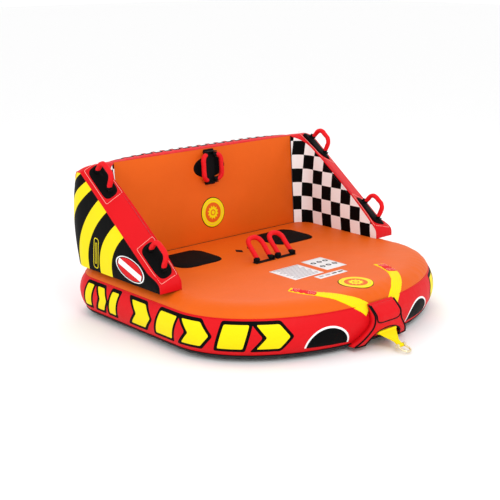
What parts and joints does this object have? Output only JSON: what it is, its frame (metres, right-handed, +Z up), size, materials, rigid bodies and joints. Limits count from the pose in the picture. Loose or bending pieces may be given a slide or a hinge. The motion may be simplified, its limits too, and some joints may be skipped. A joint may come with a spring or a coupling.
{
  "type": "towable tube",
  "caption": "Inflatable towable tube with a flat rounded deck, a sofa backrest and sloping side wings, loop handles and a tow shackle at the nose.",
  "frame": {"origin": "centre of the footprint, on the surface the tube stands on", "axes": "+Z up, -Y towards the tow shackle at the nose, +Y towards the backrest, +X to the rider's left when facing the nose"},
  "size_m": [1.54, 1.5533, 0.7684],
  "materials": {
    "deck_nylon": "coated nylon, fine weave",
    "red_nylon": "coated nylon, fine weave",
    "base_nylon": "coated nylon",
    "checker_nylon": "coated nylon printed with black and white squares",
    "striped_nylon": "coated nylon printed with black and yellow stripes",
    "bladder_vinyl": "smooth vinyl",
    "black_neoprene": "textured neoprene",
    "black_webbing": "woven webbing",
    "yellow_webbing": "woven webbing",
    "red_webbing": "woven webbing",
    "red_sleeve": "padded nylon sleeve",
    "printed_vinyl": "printed vinyl disc",
    "label_vinyl": "printed vinyl label",
    "black_piping": "edge binding",
    "shackle_metal": "polished steel",
    "valve_plastic": "moulded",
    "zipper_black": "woven tape with moulded teeth",
    "zipper_metal": "plated"
  },
  "bodies": {
    "tube": {"back_grip_strap": "black_webbing", "back_knuckle_guard": "black_neoprene", "backrest_badge": "printed_vinyl", "backrest_bladder": "bladder_vinyl", "backrest_crest_band": "red_nylon", "backrest_front_panel": "deck_nylon", "backrest_rear_panel": "red_nylon", "backrest_valve_body": "valve_plastic", "bolster_base_panel": "base_nylon", "care_labels": "label_vinyl", "deck_badge": "printed_vinyl", "deck_bladder": "bladder_vinyl", "deck_bottom_panel": "base_nylon", "deck_sidewall": "red_nylon", "deck_top_panel": "deck_nylon", "deck_valve_body": "valve_plastic", "left_lower_grip_strap": "black_webbing", "left_lower_knuckle_guard": "black_neoprene", "left_seat_grip_strap": "black_webbing", "left_seat_pad": "black_neoprene", "left_tow_strap": "yellow_webbing", "left_upper_grip_strap": "black_webbing", "left_upper_knuckle_guard": "black_neoprene", "left_wing_band": "red_nylon", "left_wing_inner_panel": "checker_nylon", "left_wing_outer_panel": "striped_nylon", "nose_cover": "red_nylon", "nose_piping": "black_piping", "right_lower_grip_strap": "black_webbing", "right_lower_knuckle_guard": "black_neoprene", "right_seat_grip_strap": "black_webbing", "right_seat_pad": "black_neoprene", "right_tow_strap": "yellow_webbing", "right_upper_grip_strap": "black_webbing", "right_upper_knuckle_guard": "black_neoprene", "right_wing_band": "red_nylon", "right_wing_inner_panel": "checker_nylon", "right_wing_outer_panel": "striped_nylon", "seat_tie_tabs": "black_webbing", "tow_strap_patches": "red_webbing", "zipper_tape": "zipper_black"},
    "left_lower_wing_grip": {"left_lower_wing_grip": "red_sleeve"},
    "left_upper_wing_grip": {"left_upper_wing_grip": "red_sleeve"},
    "left_seat_grip": {"left_seat_grip": "red_sleeve"},
    "left_back_grip": {"left_back_grip": "red_sleeve"},
    "right_lower_wing_grip": {"right_lower_wing_grip": "red_sleeve"},
    "right_upper_wing_grip": {"right_upper_wing_grip": "red_sleeve"},
    "right_seat_grip": {"right_seat_grip": "red_sleeve"},
    "right_back_grip": {"right_back_grip": "red_sleeve"},
    "nose_flap": {"nose_flap": "red_nylon"},
    "tow_webbing": {"tow_webbing": "yellow_webbing"},
    "tow_shackle": {"tow_shackle": "shackle_metal", "shackle_pin": "shackle_metal"},
    "deck_valve_cap": {"deck_valve_cap": "valve_plastic"},
    "backrest_valve_cap": {"backrest_valve_cap": "valve_plastic"},
    "zipper_slider": {"zipper_slider": "zipper_metal"},
    "zipper_pull": {"zipper_pull": "zipper_metal"}
  },
  "joints": [
    {"name": "left_lower_wing_grip_hinge", "type": "hinge", "parent": "tube", "child": "left_lower_wing_grip", "pos_m": [-0.70942, 0.08518, 0.38641], "axis": [0, 0.7984, 0.6022], "range_deg": [-100, 60], "stiffness_Nm_per_rad": 0.6},
    {"name": "left_upper_wing_grip_hinge", "type": "hinge", "parent": "tube", "child": "left_upper_wing_grip", "pos_m": [-0.70942, 0.47797, 0.68268], "axis": [0, 0.7984, 0.6022], "range_deg": [-100, 60], "stiffness_Nm_per_rad": 0.6},
    {"name": "left_seat_grip_hinge", "type": "hinge", "parent": "tube", "child": "left_seat_grip", "pos_m": [-0.07, 0.079, 0.2685], "axis": [1, 0, 0], "range_deg": [-35, 120], "stiffness_Nm_per_rad": 0.6},
    {"name": "left_back_grip_hinge", "type": "hinge", "parent": "tube", "child": "left_back_grip", "pos_m": [-0.026, 0.54953, 0.63843], "axis": [0, 0.0735, 0.9973], "range_deg": [-15, 70], "stiffness_Nm_per_rad": 0.6},
    {"name": "right_lower_wing_grip_hinge", "type": "hinge", "parent": "tube", "child": "right_lower_wing_grip", "pos_m": [0.70942, 0.08518, 0.38641], "axis": [0, 0.7984, 0.6022], "range_deg": [-60, 100], "stiffness_Nm_per_rad": 0.6},
    {"name": "right_upper_wing_grip_hinge", "type": "hinge", "parent": "tube", "child": "right_upper_wing_grip", "pos_m": [0.70942, 0.47797, 0.68268], "axis": [0, 0.7984, 0.6022], "range_deg": [-60, 100], "stiffness_Nm_per_rad": 0.6},
    {"name": "right_seat_grip_hinge", "type": "hinge", "parent": "tube", "child": "right_seat_grip", "pos_m": [0.07, 0.079, 0.2685], "axis": [1, 0, 0], "range_deg": [-35, 120], "stiffness_Nm_per_rad": 0.6},
    {"name": "right_back_grip_hinge", "type": "hinge", "parent": "tube", "child": "right_back_grip", "pos_m": [0.026, 0.54953, 0.63843], "axis": [0, 0.0735, 0.9973], "range_deg": [-70, 15], "stiffness_Nm_per_rad": 0.6},
    {"name": "nose_flap_hinge", "type": "hinge", "parent": "tube", "child": "nose_flap", "pos_m": [0, -0.6094, 0.1987], "axis": [1, 0, 0], "range_deg": [-140, 0]},
    {"name": "tow_webbing_hinge", "type": "hinge", "parent": "tube", "child": "tow_webbing", "pos_m": [0, -0.64, 0.076], "axis": [1, 0, 0], "range_deg": [-70, 30]},
    {"name": "tow_shackle_hinge", "type": "hinge", "parent": "tow_webbing", "child": "tow_shackle", "pos_m": [0, -0.72057, 0.02759], "axis": [1, 0, 0], "range_deg": [-85, 85]},
    {"name": "deck_valve_cap_hinge", "type": "hinge", "parent": "tube", "child": "deck_valve_cap", "pos_m": [-0.33, 0.7704, 0.153], "axis": [1, 0, 0], "range_deg": [0, 110]},
    {"name": "backrest_valve_cap_hinge", "type": "hinge", "parent": "tube", "child": "backrest_valve_cap", "pos_m": [0.3, 0.7704, 0.516], "axis": [1, 0, 0], "range_deg": [0, 110]},
    {"name": "zipper_slide", "type": "slide", "parent": "tube", "child": "zipper_slider", "axis": [1, 0, 0], "range_m": [0, 0.585]},
    {"name": "zipper_pull_hinge", "type": "hinge", "parent": "zipper_slider", "child": "zipper_pull", "pos_m": [-0.164, 0.7746, 0.127], "axis": [1, 0, 0], "range_deg": [0, 150]}
  ]
}
